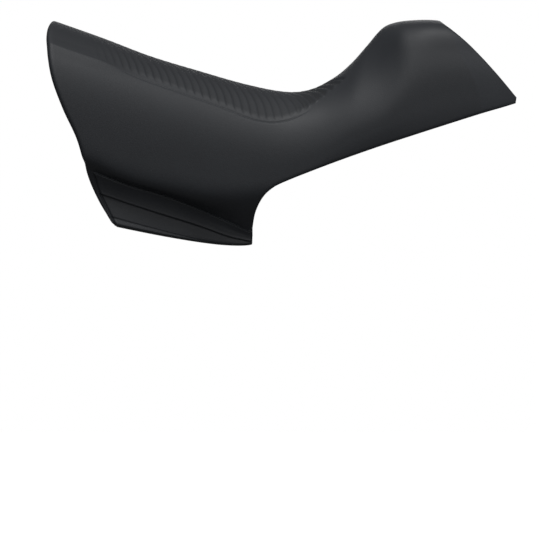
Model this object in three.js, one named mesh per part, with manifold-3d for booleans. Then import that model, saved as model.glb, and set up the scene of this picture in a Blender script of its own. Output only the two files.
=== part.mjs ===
// Brake lever hood: the moulded rubber cover that is pulled over the body of a right-hand road brake lever.
// Millimetres, +Z up. +X runs from the handlebar end to the nose, -Y is the outer side and +Y faces the stem.
// The origin is the middle of the mouth, where the lever body meets the handlebar.
// The hood is one moulding: a closed tube with a foot at the handlebar end, and open below from the neck forward.

import * as THREE from "three";
import { mergeVertices } from "three/addons/utils/BufferGeometryUtils.js";
import Module from "manifold-3d";

const wasm = await Module();
wasm.setup();

// Places along the hood
const MOUTH_TOP_X = -8.4;
const HEEL_X = 8.4;
const TOE_X = 45;
const NECK_X = 54.5;
const HORN_BACK_X = 81;
const HORN_FRONT_X = 95;
const NOSE_BAND_X = 106.7;
const NOSE_X = 116.5;

// Heights
const MOUTH_TOP_Z = 27.9;
const NECK_Z = 8.7;
const HORN_Z = 28;
const NOSE_Z = 6.2;
const HEEL_Z = -27.6;
const SOLE_Z = -32.6;

// Widths across the hood
const MOUTH_WIDTH = 38;
const NECK_WIDTH = 32;
const HORN_WIDTH = 30.8;
const HORN_TOP_WIDTH = 22.4;
const NOSE_WIDTH = 27.6;
const FOOT_BACK_WIDTH = 25.2;
const FOOT_FRONT_WIDTH = 16.8;

// Rubber
const WALL = 2;
const HORN_LEAN = 1.6;

// Relief of the foot, as heights above the plain skin
const LEDGE_TOP = 1.1;
const LEDGE_FOOT = 0.35;
const PANEL_TOP = -0.35;
const PANEL_FOOT = -0.05;

// How much the skin falls away per millimetre in front of the nose's band
const NOSE_BEVEL = 0.1;

// Grooves
const LIP_GROOVE_WIDTH = 0.8;
const LIP_GROOVE_DEPTH = 0.5;
const GRIP_LINE_WIDTH = 0.6;
const GRIP_LINE_DEPTH = 0.4;

// Tabs on the inner walls, which sit in slots of the lever body
const TAB_LENGTH = 7;
const TAB_WIDTH = 3;
const TAB_HEIGHT = 1.6;
const TAB_ROOT = 0.5;
const TAB_SLOPE = 0.35;
const TAB_PLACES = [
  [64, -7],
  [98, 6.5],
];

// Shape of the section
const SHOULDER_REACH = 0.577;
const SHOULDER_DROP = 0.2;
const WALL_SHARE = 0.6;
const SOLE_FLARE = 1.07;
const FOOT_EDGE = 0.6;
const FOOT_EDGE_INSIDE = 3.6;

// Fineness of the skins, and how far cutting solids run past the hood
const OUTER_STEP = 2.8;
const INNER_STEP = 3.8;
const OUTER_SAMPLES = 3;
const INNER_SAMPLES = 2;
const LINE_STEP = 4.5;
const OVERRUN = 6;

// A smooth function of x through the given [x, value] points, straight beyond the first and the last
function through(points) {
  const slope = points.map((p, i) => {
    const before = points[Math.max(i - 1, 0)];
    const after = points[Math.min(i + 1, points.length - 1)];
    return (after[1] - before[1]) / (after[0] - before[0]);
  });
  return (x) => {
    const last = points.length - 1;
    if (x <= points[0][0]) return points[0][1] + slope[0] * (x - points[0][0]);
    if (x >= points[last][0]) return points[last][1] + slope[last] * (x - points[last][0]);
    const i = points.findIndex((p) => p[0] > x) - 1;
    const width = points[i + 1][0] - points[i][0];
    const t = (x - points[i][0]) / width;
    const h = t * t * (3 - 2 * t);
    return (
      points[i][1] * (1 - h) +
      points[i + 1][1] * h +
      width * t * (1 - t) * ((1 - t) * slope[i] - t * slope[i + 1])
    );
  };
}

// Guide curves in side view
const topLine = through([
  [MOUTH_TOP_X, MOUTH_TOP_Z],
  [4.9, 23.2],
  [17.8, 18.3],
  [30.8, 14.35],
  [43.7, NECK_Z + 2],
  [NECK_X, NECK_Z],
  [61, NECK_Z + 0.7],
  [67.5, 12.7],
  [72, 16.5],
  [76.1, HORN_Z - 6.9],
  [HORN_BACK_X - 1, HORN_Z - 2.4],
  [HORN_BACK_X + 2, HORN_Z - 0.8],
  [88, HORN_Z],
  [HORN_FRONT_X, HORN_Z],
  [NOSE_X, HORN_Z - 3],
]);
const creaseLine = through([
  [MOUTH_TOP_X, MOUTH_TOP_Z - 9],
  [17.6, 10.3],
  [33.8, 5.3],
  [45, 2.2],
  [NECK_X, NECK_Z - 7.8],
  [63.5, 2.6],
  [71.6, 7],
  [79, 12.6],
  [83, 16.6],
  [HORN_BACK_X + 5, HORN_Z - 7.8],
  [89, HORN_Z - 3.6],
  [HORN_FRONT_X, HORN_Z - 1.6],
  [NOSE_X, HORN_Z - 1.6],
]);
const widestLine = through([
  [MOUTH_TOP_X, 9.2],
  [2.7, 6.5],
  [17.6, 1.6],
  [25.7, -0.5],
  [33.8, -3.5],
  [45, -6.2],
  [NECK_X, -7],
  [63.5, -4.5],
  [71.6, 0.5],
  [79.7, 5],
  [86, 9],
  [HORN_FRONT_X, 12.5],
  [NOSE_X, 12.5],
]);
const turnLine = through([
  [MOUTH_TOP_X, -6.5],
  [2.7, -10],
  [9.5, -12.7],
  [17.6, -15],
  [25.7, -17],
  [35, -19.5],
  [TOE_X, -20.5],
  [NECK_X, -20],
  [76, -12],
  [92, -7],
  [NOSE_X, 0],
]);
const waistLine = through([
  [MOUTH_TOP_X, -8.4],
  [2.4, -12.2],
  [12.2, -15.9],
  [22.3, -18.9],
  [35.8, -24.2],
  [TOE_X, -27.4],
  [70, -19],
  [92, -11],
  [NOSE_X, -4],
]);
const footLine = through([
  [MOUTH_TOP_X, -15],
  [HEEL_X, -19],
  [25, -23.6],
  [38, -28],
  [TOE_X, SOLE_Z + 3],
  [70, -24],
  [NOSE_X, -8],
]);
const soleLine = through([
  [MOUTH_TOP_X, HEEL_Z + 3.8],
  [HEEL_X, HEEL_Z],
  [24.3, -30.75],
  [37.3, SOLE_Z],
  [TOE_X, SOLE_Z],
  [70, -27],
  [NOSE_X, -12],
]);

// Guide curves in plan, as half widths
const creaseWidth = through([
  [MOUTH_TOP_X, 17.3],
  [17.6, 15.7],
  [33.8, 15],
  [NECK_X, 14.5],
  [71.6, 14],
  [79, 13.1],
  [86, 12.4],
  [89, 11.8],
  [HORN_FRONT_X, HORN_TOP_WIDTH / 2],
  [NOSE_X, HORN_TOP_WIDTH / 2 - 1],
]);
const widestWidth = through([
  [MOUTH_TOP_X, MOUTH_WIDTH / 2],
  [20, 17.4],
  [NECK_X, NECK_WIDTH / 2],
  [76, NECK_WIDTH / 2],
  [92, HORN_WIDTH / 2],
  [NOSE_X, NOSE_WIDTH / 2],
]);
const waistWidth = through([
  [MOUTH_TOP_X, 16.2],
  [HEEL_X, 14.2],
  [25, 11.6],
  [TOE_X, 9],
  [62, 14.3],
  [NOSE_X, 13],
]);
const footWidth = through([
  [MOUTH_TOP_X, 14.2],
  [HEEL_X, FOOT_BACK_WIDTH / 2],
  [25, 10.6],
  [TOE_X, FOOT_FRONT_WIDTH / 2],
  [70, 11],
  [NOSE_X, 12],
]);

// Where the nose's band begins, by height
const bandLine = through([
  [-12, 108],
  [4.3, NOSE_BAND_X],
  [10.5, 105.3],
  [24, 98.6],
  [30, 96],
]);

// Lines of the foot's relief, in side view
const ledgeLine = through([
  [2.4, -12.8],
  [12.2, -16.5],
  [22.3, -19.5],
  [35.8, -24.9],
  [TOE_X, -29.2],
]);
const panelLine = through([
  [5.4, -19],
  [13.8, -21.9],
  [31.1, -27.4],
  [38.5, -30.1],
  [TOE_X, -31.6],
]);
const seamLine = through([
  [8.3, -25.1],
  [15.5, -27.1],
  [29, -30.6],
  [37.5, -32.2],
  [TOE_X, -33],
]);
const LIP_POINTS = [
  [-1.5, -8],
  [2.4, -13],
  [3.7, -17.5],
  [5.4, -21.2],
  [8.1, -26.6],
  [11, -33.5],
];
const GRIP_LINE_POINTS = [
  [9, 16.6],
  [19, 10.8],
  [31.9, 6],
  [45, 1.3],
  [48.6, 0.5],
  [52.7, 0.5],
  [56.2, 1.5],
  [59.9, 3.3],
  [63, 5.6],
];

// How far the section's middle stands towards the stem at the given place
function lean(x, z) {
  const along = THREE.MathUtils.smoothstep(x, NECK_X, HORN_FRONT_X);
  return HORN_LEAN * along * THREE.MathUtils.clamp(z / HORN_Z, 0, 1);
}

// The control polygon of half a section, from the top centre to the sole centre, as [y, z]
function sectionControls(x, footEdge) {
  const [top, sole] = [topLine(x), soleLine(x)];
  const crease = [creaseWidth(x), creaseLine(x)];
  const shoulder = [crease[0] * SHOULDER_REACH, THREE.MathUtils.lerp(top, crease[1], SHOULDER_DROP)];
  const wall = widestWidth(x);
  const edge = footWidth(x) * SOLE_FLARE;
  // A point on the middle line that makes the curve reach its height there
  const middle = (height, next) => [0, height + (height - next[1]) / 2];
  return [
    middle(top, shoulder),
    shoulder,
    crease,
    [wall, widestLine(x)],
    [wall, THREE.MathUtils.lerp(widestLine(x), turnLine(x), WALL_SHARE)],
    [wall, turnLine(x)],
    [waistWidth(x), waistLine(x)],
    [footWidth(x), footLine(x)],
    [edge, sole + footEdge],
    [edge - footEdge, sole],
    [0, sole],
  ];
}

// A closed section at x, sampled along the cubic B-spline of its control polygon
function section(x, { samples, footEdge }) {
  const half = sectionControls(x, footEdge);
  const mirrored = half.slice(1, -1).reverse().map(([y, z]) => [-y, z]);
  const polygon = [...half, ...mirrored].map(([y, z]) => [y + lean(x, z), z]);
  const n = polygon.length;
  const points = [];
  for (let i = 0; i < n; i++) {
    const [a, b, c, d] = [-1, 0, 1, 2].map((k) => polygon[(i + k + n) % n]);
    for (let j = 0; j < samples; j++) {
      const t = j / samples;
      const weights = [
        (1 - t) ** 3 / 6,
        (3 * t ** 3 - 6 * t ** 2 + 4) / 6,
        (-3 * t ** 3 + 3 * t ** 2 + 3 * t + 1) / 6,
        t ** 3 / 6,
      ];
      const [y, z] = [0, 1].map(
        (k) => weights[0] * a[k] + weights[1] * b[k] + weights[2] * c[k] + weights[3] * d[k],
      );
      points.push(new THREE.Vector3(x, y, z));
    }
  }
  return points;
}

// The two grades of skin: the outer one is finer, with a sharper edge round the sole
const outside = { step: OUTER_STEP, samples: OUTER_SAMPLES, footEdge: FOOT_EDGE };
const inside = { step: INNER_STEP, samples: INNER_SAMPLES, footEdge: FOOT_EDGE_INSIDE };

// A closed solid of the sections from start to end, with its skin moved out by height(x, z)
function loft(grade, start, end, height) {
  const rows = stationsFrom(start, end, grade.step).map((x) => section(x, grade));
  const count = rows[0].length;
  const moved = rows.map((row, i) =>
    row.map((p, j) => {
      const [before, after] = [Math.max(i - 1, 0), Math.min(i + 1, rows.length - 1)];
      const along = rows[after][j].clone().sub(rows[before][j]);
      const around = row[(j + 1) % count].clone().sub(row[(j + count - 1) % count]);
      const outward = along.cross(around).normalize();
      return p.clone().addScaledVector(outward, height(p.x, p.z));
    }),
  );
  const positions = [];
  const face = (a, b, c) => positions.push(...a.toArray(), ...b.toArray(), ...c.toArray());
  for (let i = 0; i + 1 < moved.length; i++)
    for (let j = 0; j < count; j++) {
      const k = (j + 1) % count;
      face(moved[i][j], moved[i + 1][j], moved[i + 1][k]);
      face(moved[i][j], moved[i + 1][k], moved[i][k]);
    }
  const centre = (row) =>
    row.reduce((sum, p) => sum.add(p), new THREE.Vector3()).divideScalar(row.length);
  const [first, last] = [moved[0], moved[moved.length - 1]];
  const [firstCentre, lastCentre] = [centre(first), centre(last)];
  for (let j = 0; j < count; j++) {
    const k = (j + 1) % count;
    face(firstCentre, first[j], first[k]);
    face(lastCentre, last[k], last[j]);
  }
  const geometry = new THREE.BufferGeometry();
  geometry.setAttribute("position", new THREE.Float32BufferAttribute(positions, 3));
  return solidOf(geometry);
}

// A closed three.js geometry as a solid for cutting and joining
function solidOf(geometry) {
  const bare = geometry.index ? geometry.toNonIndexed() : geometry.clone();
  bare.deleteAttribute("normal");
  bare.deleteAttribute("uv");
  const merged = mergeVertices(bare, 1e-4);
  return new wasm.Manifold(
    new wasm.Mesh({
      numProp: 3,
      vertProperties: merged.attributes.position.array,
      triVerts: new Uint32Array(merged.index.array),
    }),
  );
}

// A solid as a three.js geometry
function geometryOf(solid) {
  const mesh = solid.getMesh();
  const geometry = new THREE.BufferGeometry();
  geometry.setAttribute("position", new THREE.BufferAttribute(mesh.vertProperties, 3));
  geometry.setIndex(new THREE.BufferAttribute(mesh.triVerts, 1));
  geometry.computeVertexNormals();
  return geometry;
}

// The outline of the hood in side view, as one closed shape
function sideOutline() {
  const above = HORN_Z + OVERRUN;
  const below = SOLE_Z - OVERRUN;
  const outline = new THREE.Shape();
  outline.moveTo(MOUTH_TOP_X + 1.5, above);
  outline.lineTo(MOUTH_TOP_X + 0.3, MOUTH_TOP_Z + 0.8);
  outline.splineThru(
    plane([
      [-9.7, 25.8],
      [-10.2, 21.6],
      [-9.2, 13],
      [-5.9, 4.3],
      [-1.9, -4.3],
      [0.5, -13],
      [4.3, -21.6],
      [HEEL_X, HEEL_Z],
    ]),
  );
  outline.lineTo(HEEL_X + 1, below);
  outline.lineTo(TOE_X, below);
  outline.lineTo(TOE_X, -28);
  outline.splineThru(
    plane([
      [TOE_X + 0.8, -23.8],
      [48, -19.5],
      [52.4, -16.2],
      [61, -12.4],
      [80.5, -5.6],
      [104.2, 2.1],
      [NOSE_X - 3.6, NOSE_Z - 1.5],
      [NOSE_X, NOSE_Z],
    ]),
  );
  outline.splineThru(
    plane([
      [NOSE_X - 5.6, NOSE_Z + 7.4],
      [NOSE_X - 10, NOSE_Z + 12.4],
      [102.2, HORN_Z - 5.3],
      [HORN_FRONT_X + 3.8, HORN_Z - 2.3],
      [HORN_FRONT_X + 1.2, HORN_Z - 0.8],
    ]),
  );
  outline.lineTo(HORN_FRONT_X, above);
  return outline;
}

// Side-view points as vectors
function plane(points) {
  return points.map(([x, z]) => new THREE.Vector2(x, z));
}

// A side-view shape as a block across the whole hood
function across(shape) {
  const geometry = new THREE.ExtrudeGeometry(shape, {
    depth: 2 * MOUTH_WIDTH,
    bevelEnabled: false,
    curveSegments: 8,
  });
  geometry.rotateX(Math.PI / 2);
  geometry.translate(0, MOUTH_WIDTH, 0);
  return solidOf(geometry);
}

function stationsFrom(start, end, step) {
  const count = Math.ceil((end - start) / step);
  return Array.from({ length: count + 1 }, (_, i) => start + ((end - start) * i) / count);
}

// The block between two lines of the foot, in front of the lip
function panelZone(upper, lower) {
  const end = TOE_X + OVERRUN;
  const xs = stationsFrom(-OVERRUN, end, LINE_STEP);
  const along = (line) => plane(xs.map((x) => [x, line(x)]));
  const lip = new THREE.SplineCurve(plane(LIP_POINTS)).getPoints(10);
  const corners = plane([
    [end, LIP_POINTS[LIP_POINTS.length - 1][1] - OVERRUN],
    [end, LIP_POINTS[0][1]],
  ]);
  return across(new THREE.Shape([...along(upper), ...along(lower).reverse()])).intersect(
    across(new THREE.Shape([...lip, ...corners])),
  );
}

// The skin between two lines of the foot, whose height goes from one value to the other
function panelSkin(upper, lower, upperHeight, lowerHeight) {
  return loft(outside, -OVERRUN, TOE_X + OVERRUN, (x, z) => {
    const share = THREE.MathUtils.clamp((upper(x) - z) / (upper(x) - lower(x)), 0, 1);
    return THREE.MathUtils.lerp(upperHeight, lowerHeight, share);
  });
}

// A solid with the foot's overlapping panels on it: the first stands proud, the others are sunk
function withFootPanels(solid) {
  const underSole = (x) => soleLine(x) - OVERRUN;
  const ledge = panelSkin(ledgeLine, panelLine, LEDGE_TOP, LEDGE_FOOT);
  const middle = panelSkin(panelLine, seamLine, PANEL_TOP, PANEL_FOOT);
  const bottom = panelSkin(seamLine, soleLine, PANEL_TOP, PANEL_FOOT);
  return solid
    .add(ledge.intersect(panelZone(ledgeLine, panelLine)))
    .subtract(panelZone(panelLine, seamLine).subtract(middle))
    .subtract(panelZone(seamLine, underSole).subtract(bottom));
}

// A block across the hood, of the given width along the points
function band(points, width) {
  const curve = new THREE.SplineCurve(plane(points));
  const steps = 2 * (points.length - 1);
  const side = (offset) =>
    Array.from({ length: steps + 1 }, (_, i) => {
      const tangent = curve.getTangent(i / steps);
      const aside = new THREE.Vector2(-tangent.y, tangent.x).multiplyScalar(offset);
      return curve.getPoint(i / steps).add(aside);
    });
  return across(new THREE.Shape([...side(-width / 2), ...side(width / 2).reverse()]));
}

// The tabs on both inner walls, each a slot-shaped piece of the layer under the skin
function tabs(layer) {
  const reach = (TAB_LENGTH - TAB_WIDTH) / 2;
  const outline = new THREE.Shape();
  outline.absarc(reach, 0, TAB_WIDTH / 2, -Math.PI / 2, Math.PI / 2);
  outline.absarc(-reach, 0, TAB_WIDTH / 2, Math.PI / 2, (3 * Math.PI) / 2);
  return TAB_PLACES.map(([x, z]) => {
    const turned = outline.getPoints(4).map((p) => p.rotateAround(new THREE.Vector2(), TAB_SLOPE));
    return layer.intersect(across(new THREE.Shape(turned)).translate([x, 0, z]));
  });
}

function hoodSolid() {
  const start = MOUTH_TOP_X - OVERRUN;
  const end = NOSE_X + OVERRUN;
  const outer = (height) => loft(outside, start, end, height);
  const inner = (height) => loft(inside, start - 1, end + 1, height);
  const bevelled = outer((x, z) => -NOSE_BEVEL * Math.max(x - bandLine(z), 0));
  const lipGroove = band(LIP_POINTS, LIP_GROOVE_WIDTH).subtract(outer(() => -LIP_GROOVE_DEPTH));
  const gripLine = band(GRIP_LINE_POINTS, GRIP_LINE_WIDTH).subtract(outer(() => -GRIP_LINE_DEPTH));
  const tabLayer = inner(() => TAB_ROOT - WALL).subtract(inner(() => -WALL - TAB_HEIGHT));
  const pieces = withFootPanels(bevelled)
    .subtract(lipGroove)
    .subtract(gripLine)
    .subtract(inner(() => -WALL))
    .add(wasm.Manifold.union(tabs(tabLayer)))
    .intersect(across(sideOutline()))
    .decompose();
  // Crumbs without volume can be left where two panels meet on the sole
  return pieces.reduce((largest, piece) => (piece.volume() > largest.volume() ? piece : largest));
}

const rubber = new THREE.MeshStandardMaterial({ color: 0x2b2c2f, roughness: 0.75, metalness: 0 });
const hood = new THREE.Mesh(geometryOf(hoodSolid()), rubber);
hood.name = "lever_hood";

const part = new THREE.Group();
part.add(hood);

export default part;
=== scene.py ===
# Brake lever hood: the visual model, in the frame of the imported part.
# Shapes are worked out in millimetres and go into the scene in metres.

import math

import bmesh
import bpy
import numpy as np
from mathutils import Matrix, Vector


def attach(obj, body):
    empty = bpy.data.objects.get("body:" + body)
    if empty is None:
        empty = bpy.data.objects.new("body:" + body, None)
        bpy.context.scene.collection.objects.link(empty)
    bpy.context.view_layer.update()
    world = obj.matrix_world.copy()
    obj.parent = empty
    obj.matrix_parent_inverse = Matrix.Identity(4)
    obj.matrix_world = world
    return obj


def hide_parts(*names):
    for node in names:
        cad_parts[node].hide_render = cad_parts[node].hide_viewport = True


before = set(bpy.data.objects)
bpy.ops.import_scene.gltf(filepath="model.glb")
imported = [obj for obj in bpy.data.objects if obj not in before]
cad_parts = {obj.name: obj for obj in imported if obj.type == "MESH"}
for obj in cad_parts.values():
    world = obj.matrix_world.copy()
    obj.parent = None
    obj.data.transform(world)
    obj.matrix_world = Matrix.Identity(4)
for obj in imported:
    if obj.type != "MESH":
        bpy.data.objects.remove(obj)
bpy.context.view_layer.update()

MM = 0.001

# Places along the hood, and heights at them, as in the part's source
MOUTH_TOP_X, HEEL_X, TOE_X, NECK_X = -8.4, 8.4, 45.0, 54.5
HORN_BACK_X, HORN_FRONT_X, NOSE_BAND_X, NOSE_X = 81.0, 95.0, 106.7, 116.5
MOUTH_TOP_Z, NECK_Z, HORN_Z, NOSE_Z = 27.9, 8.7, 28.0, 6.2
HEEL_Z, SOLE_Z = -27.6, -32.6

# Shell and section
WALL = 2.0
RIM = WALL / 2
HORN_LEAN = 1.6
WALL_SHARE, SOLE_FLARE = 0.6, 1.07
OUTER_CORNER, INNER_CORNER = 0.6, 3.6
SECTION_SPANS = 10
REAR_RIM, FRONT_RIM, RIM_STEPS = 1, 0.4, 7

# Relief of the foot: the first panel stands out, the others are sunk at their tops
STEP, SEAM_STEP = 0.28, 0.25
LEDGE_TOP, LEDGE_BEND, LEDGE_FOOT = 1.0, 0.3, 0.35
BEND_SHARE, BEND_RIDGE, BEND_WIDTH = 0.66, 0.16, 0.12
PANEL_SINK, SOLE_LIP = 0.32, 0.9
SEAM_GAP, LEAST_PANEL = 0.12, 0.3
SEAM_END = (42, 36)
LIP_DEPTH, LIP_WIDTH, LIP_TOP, LIP_REACH = 0.45, 0.6, (-11.8, -13.4), (20, 14)
LIP_EDGE = (-0.2, 0.25)

# Incised line, crease and nose band
LINE_DEPTH, LINE_WIDTH, LINE_START, LINE_END = 0.16, 0.36, (6, 15), (62, 56)
CREASE_HEIGHT, CREASE_REACH, CREASE_END = 0.35, 2.2, (13, 3)
# The nose band's bevel, and the edge of its painted highlight
NOSE_BEVEL, BAND_EDGE = 0.1, (-0.15, 0.3)

# How far the relief's direction may lean down, so that the sole's outline stays in place
MOST_DOWN = 0.1

# Ribs of the grip zone
RIB_PITCH, RIB_SLANT, RIB_CURVE, RIB_DEPTH, RIB_TOP = 2.15, 1.2, 32, 0.14, 0.72
RIB_START, RIB_EDGE, SCALLOP = (-2, 14), (0, 0.8), 0.25
FAINT_RIBS, STRONG_RIBS = 0.36, (54, 61)
ZONE_END, END_DEPTH, END_WIDTH, END_FADE = 63.6, 0.35, 0.7, 0.2
# Edges of the grip zone's painted shade: at the grip line, the strip beside the line that stays undarkened,
# and where that strip begins
DARK_EDGE, DARK_BAND, STRIP_START = (0, 0.3), (0.4, 1.6), (8, 18)

# Mesh: columns, rows, and the passes that fit them to the edges
LEDGE_COLUMNS, SKIRT_COLUMNS = 126, 174
COLUMNS = LEDGE_COLUMNS + SKIRT_COLUMNS
GRIP_SHARE, GRIP_DROP = 0.3, 0.6
GRIP_STRIP, SIDE_STRIP, PANEL_STRIP, SOLE_STRIP = 15, 45, 6, 12
COARSE = 3
SETTLE_STEPS, SOLVE_STEPS, FIT_PASSES = 60, 40, 12
LEAST_S, LAST_S = 0.004, 0.95
MERGE = 2e-6


def through(points):
    """A smooth function of x through the points, straight beyond the first and the last."""
    xs, vs = np.array(points, float).T
    n = len(xs)
    low, high = np.maximum(np.arange(n) - 1, 0), np.minimum(np.arange(n) + 1, n - 1)
    m = (vs[high] - vs[low]) / (xs[high] - xs[low])

    def f(x):
        x = np.asarray(x, float)
        i = np.clip(np.searchsorted(xs, x, side="right") - 1, 0, n - 2)
        w = xs[i + 1] - xs[i]
        t = (x - xs[i]) / w
        h = t * t * (3 - 2 * t)
        y = vs[i] * (1 - h) + vs[i + 1] * h + w * t * (1 - t) * ((1 - t) * m[i] - t * m[i + 1])
        y = np.where(x <= xs[0], vs[0] + m[0] * (x - xs[0]), y)
        return np.where(x >= xs[-1], vs[-1] + m[-1] * (x - xs[-1]), y)

    return f


def smooth(a, b, v):
    t = np.clip((v - a) / (b - a), 0, 1)
    return t * t * (3 - 2 * t)


def mix(a, b, t):
    return a + (b - a) * t


# Guide curves in side view
top_line = through([
    (MOUTH_TOP_X, MOUTH_TOP_Z), (4.9, 23.2), (17.8, 18.3), (30.8, 14.35), (43.7, 10.7), (NECK_X, NECK_Z),
    (61, 9.4), (67.5, 12.7), (72, 16.5), (76.1, 21.1), (HORN_BACK_X - 1, HORN_Z - 2.4),
    (HORN_BACK_X + 2, HORN_Z - 0.8), (88, HORN_Z), (HORN_FRONT_X, HORN_Z), (NOSE_X, HORN_Z - 3),
])
crease_line = through([
    (MOUTH_TOP_X, 18.9), (17.6, 10), (33.8, 4.6), (45, 1.4), (NECK_X, 0.1), (63.5, 2), (71.6, 6.2),
    (79, 11.8), (84, 16.2), (88, 18.5), (HORN_FRONT_X, 20), (NOSE_X, 20),
])
widest_line = through([
    (MOUTH_TOP_X, 9.2), (2.7, 6.5), (17.6, 1.6), (25.7, -0.5), (33.8, -3.5), (45, -6.2), (NECK_X, -7),
    (63.5, -4.5), (71.6, 0), (79.7, 4.4), (86, 10), (HORN_FRONT_X, 14.8), (NOSE_X, 14.8),
])
turn_line = through([
    (MOUTH_TOP_X, -7), (2.7, -11.2), (9.5, -14.7), (17.6, -17.5), (25.7, -19.5), (35, -21.2),
    (TOE_X, -20.5), (NECK_X, -18), (68, -9), (76, -5.5), (92, 0.5), (NOSE_X, 6),
])
waist_line = through([
    (MOUTH_TOP_X, -8.4), (2.4, -12.2), (12.2, -15.9), (22.3, -18.9), (35.8, -24.2), (TOE_X, -27.4),
    (70, -16), (92, -7), (NOSE_X, 0),
])
foot_line = through([
    (MOUTH_TOP_X, -15), (HEEL_X, -19), (25, -23.6), (38, -28), (TOE_X, -29.6), (70, -24), (NOSE_X, -8),
])
sole_line = through([
    (MOUTH_TOP_X, -23.8), (HEEL_X, HEEL_Z), (24.3, -30.75), (37.3, SOLE_Z), (TOE_X, SOLE_Z), (70, -27),
    (NOSE_X, -12),
])

# Guide curves in plan, as half widths
crease_width = through([
    (MOUTH_TOP_X, 17.3), (17.6, 15.7), (33.8, 15), (NECK_X, 14.5), (71.6, 14), (79, 13.1), (83, 12.9),
    (88, 13.8), (HORN_FRONT_X, 13.5), (NOSE_X, 11.8),
])
widest_width = through([
    (MOUTH_TOP_X, 19), (20, 17.4), (NECK_X, 16), (76, 16), (92, 15), (NOSE_X, 13.5),
])
waist_width = through([
    (MOUTH_TOP_X, 16.2), (HEEL_X, 14.2), (25, 11.6), (TOE_X, 9), (62, 14.3), (NOSE_X, 13),
])
foot_width = through([
    (MOUTH_TOP_X, 14.2), (HEEL_X, 12.6), (25, 10.6), (TOE_X, 8.4), (70, 11), (NOSE_X, 12),
])

# The shoulder between the top and the crease: its share of the crease's width and of its drop
shoulder_share = through([
    (MOUTH_TOP_X, 0.577), (72, 0.577), (79, 0.47), (84.5, 0.75), (88, 0.79), (HORN_FRONT_X, 0.91),
    (NOSE_X, 0.92),
])
shoulder_drop = through([
    (MOUTH_TOP_X, 0.2), (60, 0.2), (69, 0.3), (75, 0.27), (80, 0.19), (86, 0.1), (HORN_FRONT_X, 0.05),
    (NOSE_X, 0.04),
])

# Lines of the relief, in side view
ledge_line = through([(2.4, -12.8), (12.2, -16.5), (22.3, -19.5), (35.8, -24.9), (TOE_X, -29.2)])
panel_line = through([(5.4, -19), (13.8, -21.9), (31.1, -27.4), (38.5, -30.1), (TOE_X, -31.6)])
seam_line = through([(8.3, -25.1), (15.5, -27.1), (29, -30.6), (37.5, -32.2), (TOE_X, -33)])
grip_line = through([
    (-11, 22.2), (-5.8, 20.2), (-2, 18.9), (1.4, 17.7), (4.7, 16.6), (9, 14.9), (12.6, 13.3),
    (16.6, 11.7), (21.6, 9.9), (26.7, 8.1), (34.1, 5.5), (39.2, 3.6), (44.2, 1.6), (47.6, 0.7),
    (51, 0.4), (54.3, 0.9), (56.5, 1.7), (59.9, 3.4), (63, 5.6), (68, 9.6), (75, 15.2), (82, 20.4),
    (88, 23.4), (95, 24.6), (104, 22.6), (110, 20),
])
strip_width = through([(0, 0.2), (12, 0.6), (20, 0.7), (50, 0.5), (60, 0.6), (70, 0.5)])

# Where the nose's band and the foot's panels begin, by height
band_x = through([(-12, 108), (4.3, NOSE_BAND_X), (10.5, 105.3), (24, 98.6), (30, 96)])
lip_x = through([(-33.5, 11), (-26.6, 8.1), (-21.2, 5.4), (-17.5, 3.7), (-13, 2.4), (-8, -1.5)])


def half_section(x, s, corner=OUTER_CORNER):
    """Half width, lean and height at s, from 0 at the top centre to 1 at the sole's centre."""
    x, s = np.broadcast_arrays(np.asarray(x, float), np.asarray(s, float))
    flip = np.where((s < 0) | (s > 1), -1.0, 1.0)
    s = np.where(s < 0, -s, np.where(s > 1, 2 - s, s))
    top, sole = top_line(x), sole_line(x)
    crease_y, crease_z = crease_width(x), crease_line(x)
    shoulder_y = crease_y * shoulder_share(x)
    shoulder_z = top - shoulder_drop(x) * (top - crease_z)
    middle_z = 1.5 * top - 0.5 * shoulder_z
    widest_y, widest_z, turn_z = widest_width(x), widest_line(x), turn_line(x)
    wall_z = mix(widest_z, turn_z, WALL_SHARE)
    foot_y = foot_width(x)
    edge_y = foot_y * SOLE_FLARE
    sole_y = edge_y - corner
    zero = np.zeros_like(x)
    ys = np.stack([-shoulder_y, zero, shoulder_y, crease_y, widest_y, widest_y, widest_y,
                   waist_width(x), foot_y, edge_y, sole_y, zero, -sole_y], -1)
    zs = np.stack([shoulder_z, middle_z, shoulder_z, crease_z, widest_z, wall_z, turn_z,
                   waist_line(x), foot_line(x), sole + corner, sole, sole, sole], -1)
    along = smooth(NECK_X, HORN_FRONT_X, x)
    leans = HORN_LEAN * along[..., None] * np.clip(zs / HORN_Z, 0, 1)
    u = s * SECTION_SPANS
    i = np.clip(np.floor(u), 0, SECTION_SPANS - 1).astype(int)
    t = u - i
    weights = [(1 - t) ** 3 / 6, (3 * t ** 3 - 6 * t ** 2 + 4) / 6,
               (-3 * t ** 3 + 3 * t ** 2 + 3 * t + 1) / 6, t ** 3 / 6]

    def blend(controls):
        return sum(w * np.take_along_axis(controls, (i + k)[..., None], -1)[..., 0]
                   for k, w in enumerate(weights))

    return blend(ys) * flip, blend(leans), blend(zs)


def height_at(x, s):
    return half_section(x, s)[2]


def solve_s(x, z):
    """The s at which the section at x has the height z."""
    low, high = np.zeros_like(x), np.ones_like(x)
    for _ in range(SOLVE_STEPS):
        mid = (low + high) / 2
        above = height_at(x, mid) > z
        low, high = np.where(above, mid, low), np.where(above, high, mid)
    return (low + high) / 2


def skin(x, s, side, corner=OUTER_CORNER):
    """Points and outward normals of the plain skin."""
    def at(x, s):
        y, lean, z = half_section(x, s, corner)
        return np.stack([x + 0 * y, side * y + lean, z], -1)

    along, around = 0.02, 1e-3
    dx = at(x + along, s) - at(x - along, s)
    ds = at(x, s + around) - at(x, s - around)
    n = side * np.cross(dx, ds)
    n /= np.linalg.norm(n, axis=-1, keepdims=True)
    return at(x, s), n


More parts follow.
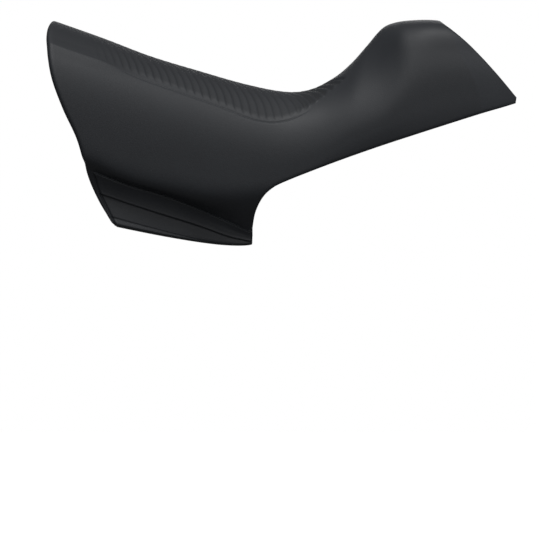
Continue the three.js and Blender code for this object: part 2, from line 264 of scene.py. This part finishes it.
def spline(points, steps=10):
    """A smooth line through the points in side view."""
    p = np.array(points, float)
    out = []
    for i in range(len(p) - 1):
        p0, p1, p2, p3 = p[max(i - 1, 0)], p[i], p[i + 1], p[min(i + 2, len(p) - 1)]
        m1, m2 = (p2 - p0) / 2, (p3 - p1) / 2
        for t in np.arange(steps) / steps:
            out.append(p1 * (2 * t ** 3 - 3 * t ** 2 + 1) + m1 * (t ** 3 - 2 * t ** 2 + t)
                       + p2 * (3 * t ** 2 - 2 * t ** 3) + m2 * (t ** 3 - t ** 2))
    out.append(p[-1])
    return np.array(out)


def moved(line, distance):
    d = np.gradient(line, axis=0)
    d /= np.linalg.norm(d, axis=1, keepdims=True)
    return line + distance * np.stack([-d[:, 1], d[:, 0]], 1)


def x_at_height(line):
    order = np.argsort(line[:, 1])
    xs, zs = line[order].T
    return lambda z: np.interp(z, zs, xs)


# Trim edges in side view, and the same edges moved in to where the rim begins
rear = spline([
    (-8, 29.4), (-9, 28), (-9.8, 25.8), (-9.9, 21.6), (-8.8, 13), (-5.8, 4.3), (-1.9, -4.3),
    (0.4, -13), (3.7, -20.6), (6.8, -26.6), (9.3, -31),
])
nose = spline([
    (NOSE_X + 1.6, NOSE_Z - 1.2), (NOSE_X + 0.7, NOSE_Z), (111.1, 13.6), (106.7, 18.6), (102.5, 22.7),
    (99.1, 25.7), (96.5, 28), (93.9, 30.2),
])
skirt = spline([
    (45.2, -28.6), (46.1, -24.2), (47.8, -20.4), (50, -17.8), (53.6, -15.7), (64.4, -11.45),
    (80.5, -5.75), (104.2, 1.95), (112.9, 4.55), (NOSE_X + 1.6, NOSE_Z),
])
rear_x = x_at_height(moved(rear, RIM))
nose_x = x_at_height(moved(nose, RIM))
skirt_in = moved(skirt, RIM)
FRONT_X = TOE_X - RIM + 0.25


def settled(x, step):
    """The value at which x stays when the step is repeated."""
    for _ in range(SETTLE_STEPS):
        x = float(step(x))
    return x


def resample(path, places):
    """Points at these shares of the path's length."""
    d = np.concatenate([[0], np.cumsum(np.linalg.norm(np.diff(path, axis=0), axis=1))])
    return np.stack([np.interp(places * d[-1], d, path[:, k]) for k in (0, 1)], 1)


# Columns along the bottom edge of the upper block: the ledge, closer at the rear, then the skirt
first_x = settled(0.0, lambda x: rear_x(ledge_line(x)))
tip_z = settled(NOSE_Z + RIM, lambda z: np.interp(nose_x(z), *skirt_in.T))
ledge_xs = np.linspace(first_x, FRONT_X, 400)
ledge_path = np.stack([ledge_xs, ledge_line(ledge_xs)], 1)
toe = ledge_path[-1]
skirt_part = skirt_in[(skirt_in[:, 0] < nose_x(skirt_in[:, 1])) & (skirt_in[:, 1] > toe[1] + 0.3)]
skirt_path = np.concatenate([[toe], skirt_part, [[float(nose_x(tip_z)), tip_z]]])
even = np.linspace(0, 1, LEDGE_COLUMNS + 1)
bottom = np.concatenate([
    resample(ledge_path, 0.45 * even + 0.55 * even ** 1.35),
    resample(skirt_path, np.linspace(0, 1, SKIRT_COLUMNS + 1))[1:],
])

# Columns along the top, closer at the mouth and on the horn, with the changes smoothed.
# A fan is a number of columns and the x at which they meet the even ones.
REAR_FAN, HORN_FAN, SMOOTHING = (18, 6.0), (66, 72.0), 13
PAD = SMOOTHING - 1
top_start = settled(0.0, lambda x: rear_x(top_line(x)))
top_end = settled(0.0, lambda x: nose_x(top_line(x)))
top_x = np.interp(np.arange(COLUMNS + 1), [0, REAR_FAN[0], COLUMNS - HORN_FAN[0], COLUMNS],
                  [top_start, REAR_FAN[1], HORN_FAN[1], top_end])
padded = np.concatenate([2 * top_x[0] - top_x[PAD:0:-1], top_x, 2 * top_x[-1] - top_x[-2:-2 - PAD:-1]])
top_x = np.convolve(padded, np.ones(SMOOTHING) / SMOOTHING, "same")[PAD:-PAD]
top_x = top_start + (top_x - top_x[0]) * (top_end - top_start) / (top_x[-1] - top_x[0])


def rows(strip, first, low, high, count, last):
    """Shares of a strip's width: single rows at its start, even ones, single rows before its end."""
    return np.concatenate([first, np.linspace(low, strip - high, count), strip - np.array(last)]) / strip


# Rows of the upper block: down to the grip line, then down to the bottom edge
grip_rows = rows(GRIP_STRIP, [], 0, 0.9, 45, [0.62, 0.42, 0.26, 0])
side_rows = rows(SIDE_STRIP, [0.12, 0.26, 0.42], 0.9, 1.2, 53, [0.8, 0.5, 0.25, 0])
v_rows = np.concatenate([grip_rows * GRIP_SHARE, GRIP_SHARE + side_rows * (1 - GRIP_SHARE)])
line_row = len(grip_rows) - 1

s_bottom = solve_s(bottom[:, 0], bottom[:, 1])
share = (top_x - top_x[0]) / (top_x[-1] - top_x[0])
V = np.repeat(v_rows[:, None], COLUMNS + 1, 1)
straight = mix(top_x[None, :], bottom[None, :, 0], V)
X = straight
for _ in range(FIT_PASSES):
    line_xs = X[line_row]
    s_grip = solve_s(line_xs, np.minimum(grip_line(line_xs), top_line(line_xs) - GRIP_DROP))
    S = np.where(V <= GRIP_SHARE, s_grip * V / GRIP_SHARE,
                 s_grip + (s_bottom - s_grip) * (V - GRIP_SHARE) / (1 - GRIP_SHARE))
    rear_fit = rear_x(height_at(X[:, 0], S[:, 0])) - straight[:, 0]
    nose_fit = nose_x(height_at(X[:, -1], S[:, -1])) - straight[:, -1]
    X = straight + rear_fit[:, None] * (1 - share) ** 2 + nose_fit[:, None] * share ** 2

# Rows of the lower block: from the ledge line over the panels to the sole's centre
lower_x = bottom[:LEDGE_COLUMNS + 1, 0]
near = [0.1, 0.2, 0.32, 0.5]
panel_rows = rows(PANEL_STRIP, near, 0.8, 0.5, 8, [0.25, 0.1, 0])[:, None]
sole_rows = rows(SOLE_STRIP, near, 0.96, 4.56, 13, [3.84, 2.52, 1.2, 0])[:, None]
s1 = s_bottom[:LEDGE_COLUMNS + 1]
s2 = np.maximum(solve_s(lower_x, panel_line(lower_x)), s1 + LEAST_S)
s3 = solve_s(lower_x, np.maximum(seam_line(lower_x), sole_line(lower_x) + SEAM_GAP))
s3 = np.maximum(np.minimum(s3, LAST_S), s2 + LEAST_S)
LS = np.concatenate([s1[None], mix(s1, s2, panel_rows), mix(s2, s3, panel_rows), mix(s3, 1, sole_rows)])
LX = np.repeat(lower_x[None], len(LS), 0)
lower_share = (lower_x - lower_x[0]) / (lower_x[-1] - lower_x[0])
for _ in range(FIT_PASSES):
    rear_fit = rear_x(height_at(LX[:, 0], LS[:, 0])) - lower_x[0]
    LX = lower_x + rear_fit[:, None] * (1 - lower_share)


def groove(d, width):
    return np.exp(-(d / (0.5 * width)) ** 2)


def relief(x, z):
    """Height of the skin's relief above the plain skin, from its place in side view."""
    behind_lip = x - lip_x(z)
    ledge, panel, sole = ledge_line(x), panel_line(x), sole_line(x)
    seam = np.maximum(seam_line(x), sole + SEAM_GAP)
    share1 = np.clip((ledge - z) / (ledge - panel), 0, 1)
    share2 = np.clip((panel - z) / np.maximum(panel - seam, LEAST_PANEL), 0, 1)
    share3 = np.clip((seam - z) / np.maximum(seam - sole, LEAST_PANEL), 0, 1)
    first = np.interp(share1, [0, BEND_SHARE, 1], [LEDGE_TOP, LEDGE_BEND, LEDGE_FOOT])
    first += BEND_RIDGE * groove(share1 - BEND_SHARE, BEND_WIDTH)
    h = first * smooth(0, STEP, ledge - z)
    h = mix(h, mix(-PANEL_SINK, 0, share2), smooth(0, STEP, panel - z))
    h = mix(h, mix(-PANEL_SINK, SOLE_LIP, share3), smooth(0, SEAM_STEP, seam - z) * smooth(*SEAM_END, x))
    h = h * smooth(*LIP_EDGE, behind_lip) * smooth(TOE_X + 3, TOE_X + 1, x)
    h = h - LIP_DEPTH * groove(behind_lip, LIP_WIDTH) * smooth(*LIP_TOP, z) * smooth(*LIP_REACH, x)
    off_line = z - grip_line(x)
    h = h - LINE_DEPTH * groove(off_line, LINE_WIDTH) * smooth(*LINE_START, x) * smooth(*LINE_END, x)
    h = h + CREASE_HEIGHT * np.clip(1 - np.abs(off_line) / CREASE_REACH, 0, 1) * smooth(*CREASE_END, x)
    return h - NOSE_BEVEL * np.maximum(x - band_x(z), 0)


def grip_zone(x, z, lead):
    """Shares of the zone's painted shade, of its ribs and of the ribs' field; lead is the ribs' place along
    x.
    """
    above = z - grip_line(x)
    front = smooth(ZONE_END + END_FADE, ZONE_END - END_FADE, lead)
    strip = mix(1, smooth(*DARK_BAND, above - strip_width(x)), smooth(*STRIP_START, x))
    scallop = SCALLOP * np.cos(2 * np.pi * x / RIB_PITCH)
    field = smooth(*RIB_EDGE, above - strip_width(x) + scallop)
    strength = mix(FAINT_RIBS, 1, smooth(*STRONG_RIBS, x))
    return smooth(*DARK_EDGE, above) * strip * front, field * smooth(*RIB_START, x) * front * strength, field


def outer(x, s, side):
    """Points, normals and surface values of the outer skin."""
    p, n = skin(x, s, side)
    px, pz = p[..., 0], p[..., 2]
    y = half_section(x, s)[0]
    lead = px - RIB_SLANT * y * (1 - y / RIB_CURVE)
    # The grip zone's painted shade, its ribs' strength and their field
    zone_shade, ribs, field = grip_zone(px, pz, lead)
    phase = (lead - ZONE_END) / RIB_PITCH
    # Share of the nose band's painted highlight
    band_highlight = smooth(*BAND_EDGE, px - band_x(pz))
    height = relief(px, pz) - END_DEPTH * groove(lead - ZONE_END, END_WIDTH) * field
    height = height - RIB_DEPTH * ribs * (0.5 - 0.5 * np.cos(2 * np.pi * (phase - RIB_TOP)))
    away = np.stack([n[..., 0], n[..., 1], np.maximum(n[..., 2], -MOST_DOWN)], -1)
    return p + away * height[..., None], n, np.stack([zone_shade, ribs, phase, band_highlight], -1)


def inner(x, s, side):
    p, n = skin(x, s, side, INNER_CORNER)
    return p - n * WALL


vertices, faces, surface_values = [], [], []
# Surface values: the grip zone's painted shade, rib strength, rib phase, the nose band's painted highlight
SURFACE_NAMES = ("grip_zone", "grip_ribs", "rib_phase", "nose_band_highlight")


def add_vertices(points, values=None):
    start = sum(len(v) for v in vertices)
    flat = points.reshape(-1, 3)
    vertices.append(flat)
    if values is None:
        values = np.zeros((len(flat), len(SURFACE_NAMES)))
    surface_values.append(values.reshape(-1, len(SURFACE_NAMES)))
    return start + np.arange(len(flat)).reshape(points.shape[:-1])


def add_grid(index, flip):
    a, b, c, d = index[:-1, :-1], index[:-1, 1:], index[1:, 1:], index[1:, :-1]
    quads = np.stack([a, b, c, d] if not flip else [a, d, c, b], -1).reshape(-1, 4)
    faces.extend(quads.tolist())


def add_rim(chain_x, chain_s, side, sign, square):
    """An edge along a chain, from the outer skin to the coarser inner one: half-round, or squarer."""
    p, n, values = outer(chain_x, chain_s, side)
    q = inner(chain_x, chain_s, side)
    away = np.cross(np.gradient(p, axis=0), n * sign)
    away[[0, -1], 1] = 0
    away /= np.linalg.norm(away, axis=1, keepdims=True)
    centre = (p + q) / 2
    up = p - centre
    rings = [p]
    for k in range(1, RIM_STEPS):
        a = math.pi * k / RIM_STEPS
        across = math.copysign(abs(math.cos(a)) ** square, math.cos(a))
        rings.append(centre + up * across + away * RIM * math.sin(a) ** square)
    flip = side * sign > 0
    index = add_vertices(np.stack(rings), np.repeat(values[None], len(rings), 0))
    add_grid(index, flip)
    fine, coarse = index[-1], add_vertices(q[::COARSE])
    for i, (a, b) in enumerate(zip(coarse[:-1], coarse[1:])):
        f = fine[COARSE * i:COARSE * (i + 1) + 1]
        triangles = [[f[0], f[1], a], [f[1], f[2], a], [f[2], b, a], [f[2], f[3], b]]
        faces.extend(t[::-1] if flip else t for t in triangles)


for side in (-1, 1):
    flip = side < 0
    for xs, ss in ((X, S), (LX, LS)):
        points, _, values = outer(xs, ss, side)
        add_grid(add_vertices(points, values), flip)
        add_grid(add_vertices(inner(xs[::COARSE, ::COARSE], ss[::COARSE, ::COARSE], side)), not flip)
    rear_chain, front_chain = (
        [np.concatenate([upper[:, 0], lower[1:, 0]]) for upper, lower in ((X, LX), (S, LS))],
        [np.concatenate([upper[:, -1], upper[-1, LEDGE_COLUMNS:-1][::-1], lower[1:, -1]])
         for upper, lower in ((X, LX), (S, LS))],
    )
    add_rim(*rear_chain, side, -side, REAR_RIM)
    add_rim(*front_chain, side, side, FRONT_RIM)

mesh = bpy.data.meshes.new("hood_skin")
mesh.from_pydata((np.concatenate(vertices) * MM).tolist(), [], faces)
for name, values in zip(SURFACE_NAMES, np.concatenate(surface_values).T):
    mesh.attributes.new(name, "FLOAT", "POINT").data.foreach_set("value", values.copy())
hood = bpy.data.objects.new("hood_skin", mesh)
bpy.context.scene.collection.objects.link(hood)
bm = bmesh.new()
bm.from_mesh(mesh)
bmesh.ops.remove_doubles(bm, verts=bm.verts, dist=MERGE)
bmesh.ops.recalc_face_normals(bm, faces=bm.faces)
bm.to_mesh(mesh)
bm.free()
mesh.polygons.foreach_set("use_smooth", [True] * len(mesh.polygons))

# Rubber: near black; a painted highlight on the nose's band, painted shade on the grip zone and between its
# ribs
BASE_DARK, BASE_LIGHT = (0.0188, 0.0215, 0.0265, 1), (0.024, 0.027, 0.0325, 1)
# Painted shade on the grip zone and between the ribs, painted highlight on the nose's band
ZONE_SHADE_TONE, RIB_GAP_SHADE, BAND_HIGHLIGHT_TONE = 0.1, 0.42, 0.22
ROUGH_LOW, ROUGH_HIGH, ZONE_ROUGH = 0.5, 0.62, 0.12
CLOUD_SCALE, GRAIN_SCALE = 60, 4200
RIB_BUMP, GRAIN_BUMP, GRAIN_STRENGTH = 0.0002, 0.00012, 0.25

rubber = bpy.data.materials.new("hood_rubber")
rubber.use_nodes = True
nodes, links = rubber.node_tree.nodes, rubber.node_tree.links
shader = nodes["Principled BSDF"]
shader.inputs["IOR"].default_value = 1.5
place = nodes.new("ShaderNodeTexCoord")


def noise(scale, detail, roughness=0.5):
    node = nodes.new("ShaderNodeTexNoise")
    node.inputs["Scale"].default_value = scale
    node.inputs["Detail"].default_value = detail
    node.inputs["Roughness"].default_value = roughness
    links.new(place.outputs["Object"], node.inputs["Vector"])
    return node.outputs["Fac"]


def surface(name):
    node = nodes.new("ShaderNodeAttribute")
    node.attribute_name = name
    return node.outputs["Fac"]


def maths(operation, *values):
    """An operation on numbers and sockets, in the tree that nodes and links stand for."""
    node = nodes.new("ShaderNodeMath")
    node.operation = operation
    for socket, value in zip(node.inputs, values):
        if isinstance(value, (int, float)):
            socket.default_value = value
        else:
            links.new(value, socket)
    return node.outputs["Value"]


def bump(height, distance, strength, below=None):
    node = nodes.new("ShaderNodeBump")
    node.inputs["Strength"].default_value = strength
    node.inputs["Distance"].default_value = distance
    links.new(height, node.inputs["Height"])
    if below is not None:
        links.new(below, node.inputs["Normal"])
    return node.outputs["Normal"]


# Ribs rise slowly towards the front and end in a steep step
rise = maths("FRACT", surface("rib_phase"))
fall = maths("DIVIDE", maths("SUBTRACT", 1, rise), 1 - RIB_TOP)
rib = maths("MULTIPLY", maths("MINIMUM", maths("DIVIDE", rise, RIB_TOP), fall), surface("grip_ribs"))
# Painted shade: darker between the ribs, and darker over the whole grip zone
gap_shade = maths("MULTIPLY", maths("SUBTRACT", surface("grip_ribs"), rib), RIB_GAP_SHADE)
tone = maths("SUBTRACT", maths("SUBTRACT", 1, maths("MULTIPLY", surface("grip_zone"), ZONE_SHADE_TONE)), gap_shade)
# Painted highlight: lighter on the nose's band
tone = maths("ADD", tone, maths("MULTIPLY", surface("nose_band_highlight"), BAND_HIGHLIGHT_TONE))

cloud = noise(CLOUD_SCALE, 3)
share_light = nodes.new("ShaderNodeMapRange")
share_light.inputs["From Min"].default_value = 0.3
share_light.inputs["From Max"].default_value = 0.7
links.new(cloud, share_light.inputs["Value"])
base = nodes.new("ShaderNodeMix")
base.data_type = "RGBA"
base.inputs["A"].default_value = BASE_DARK
base.inputs["B"].default_value = BASE_LIGHT
links.new(share_light.outputs["Result"], base.inputs["Factor"])
toned = nodes.new("ShaderNodeVectorMath")
toned.operation = "SCALE"
links.new(base.outputs["Result"], toned.inputs[0])
links.new(tone, toned.inputs["Scale"])
links.new(toned.outputs["Vector"], shader.inputs["Base Color"])

ribbed = bump(rib, RIB_BUMP, 1)
links.new(bump(noise(GRAIN_SCALE, 2, 0.6), GRAIN_BUMP, GRAIN_STRENGTH, ribbed), shader.inputs["Normal"])
rough = nodes.new("ShaderNodeMapRange")
rough.inputs["To Min"].default_value = ROUGH_LOW
rough.inputs["To Max"].default_value = ROUGH_HIGH
links.new(cloud, rough.inputs["Value"])
zone_rough = maths("MULTIPLY", surface("grip_zone"), ZONE_ROUGH)
links.new(maths("ADD", rough.outputs["Result"], zone_rough), shader.inputs["Roughness"])
mesh.materials.append(rubber)

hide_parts("lever_hood")
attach(hood, "root")

# World: light mostly from above, and white to the camera
WHITE = (1, 1, 1, 1)
SKY_LOW, SKY_HIGH = 0.03, 0.3
world = bpy.data.worlds.new("studio")
world.use_nodes = True
bpy.context.scene.world = world
nodes, links = world.node_tree.nodes, world.node_tree.links
sky = nodes["Background"]
sky.inputs["Color"].default_value = WHITE
heading = nodes.new("ShaderNodeTexCoord")
split = nodes.new("ShaderNodeSeparateXYZ")
shade = nodes.new("ShaderNodeMapRange")
shade.inputs["To Min"].default_value = SKY_LOW
shade.inputs["To Max"].default_value = SKY_HIGH
links.new(heading.outputs["Generated"], split.inputs["Vector"])
links.new(split.outputs["Z"], shade.inputs["Value"])
links.new(shade.outputs["Result"], sky.inputs["Strength"])
ray = nodes.new("ShaderNodeLightPath")
pure = nodes.new("ShaderNodeBackground")
pure.inputs["Color"].default_value = WHITE
pure.inputs["Strength"].default_value = 1
seen_sky = nodes.new("ShaderNodeMixShader")
links.new(ray.outputs["Is Camera Ray"], seen_sky.inputs[0])
links.new(sky.outputs["Background"], seen_sky.inputs[1])
links.new(pure.outputs["Background"], seen_sky.inputs[2])
links.new(seen_sky.outputs["Shader"], nodes["World Output"].inputs["Surface"])

# Floor: white to the camera, apart from the object's shadow
FLOOR_Z, FLOOR_SIZE, FLOOR_GREY, FLOOR_GLOW = -0.125, 4, 0.12, 0.97
CENTRE = (0.05, 0, 0)
bpy.ops.mesh.primitive_plane_add(size=FLOOR_SIZE, location=(CENTRE[0], CENTRE[1], FLOOR_Z))
floor = bpy.context.object
floor.name = "floor"
paper = bpy.data.materials.new("paper")
paper.use_nodes = True
nodes, links = paper.node_tree.nodes, paper.node_tree.links
matt = nodes["Principled BSDF"]
matt.inputs["Base Color"].default_value = (FLOOR_GREY, FLOOR_GREY, FLOOR_GREY, 1)
matt.inputs["Roughness"].default_value = 0.9
ray = nodes.new("ShaderNodeLightPath")
glow = nodes.new("ShaderNodeEmission")
links.new(maths("MULTIPLY", ray.outputs["Is Camera Ray"], FLOOR_GLOW), glow.inputs["Strength"])
both = nodes.new("ShaderNodeAddShader")
links.new(matt.outputs["BSDF"], both.inputs[0])
links.new(glow.outputs["Emission"], both.inputs[1])
links.new(both.outputs["Shader"], nodes["Material Output"].inputs["Surface"])
floor.data.materials.append(paper)


def lamp(name, position, size, power):
    """A rectangular lamp that faces the object."""
    light = bpy.data.lights.new(name, "AREA")
    light.shape = "RECTANGLE"
    light.size, light.size_y = size
    light.energy = power
    holder = bpy.data.objects.new(name, light)
    bpy.context.scene.collection.objects.link(holder)
    holder.location = position
    holder.rotation_euler = (Vector(CENTRE) - Vector(position)).to_track_quat("-Z", "Y").to_euler()


lamp("key", (0.04, -0.37, 0.85), (0.4, 0.3), 4.15)
lamp("fill", (0.05, -0.88, 0.45), (0.5, 0.5), 1.9)
lamp("back", (0.05, 0.95, 0.2), (0.5, 0.5), 1.6)

# Camera: far off at the side, level with the origin, framed as the photograph
PHOTO_WIDTH, PHOTO_HEIGHT = 539, 540
ORIGIN_PIXEL = (85, 124)
PIXEL = 0.27 * MM
DISTANCE = 4.0
SENSOR = 36
aim = Vector(((PHOTO_WIDTH / 2 - ORIGIN_PIXEL[0]) * PIXEL, 0, (ORIGIN_PIXEL[1] - PHOTO_HEIGHT / 2) * PIXEL))
camera_data = bpy.data.cameras.new("camera")
camera = bpy.data.objects.new("camera", camera_data)
bpy.context.scene.collection.objects.link(camera)
camera.location = (aim.x, -DISTANCE, 0)
camera.rotation_euler = (aim - camera.location).to_track_quat("-Z", "Y").to_euler()
camera_data.sensor_width = SENSOR
camera_data.lens = SENSOR * (aim - camera.location).length / (PHOTO_HEIGHT * PIXEL)
camera_data.clip_start = 0.01
bpy.context.scene.camera = camera
bpy.context.scene.view_settings.view_transform = "Standard"
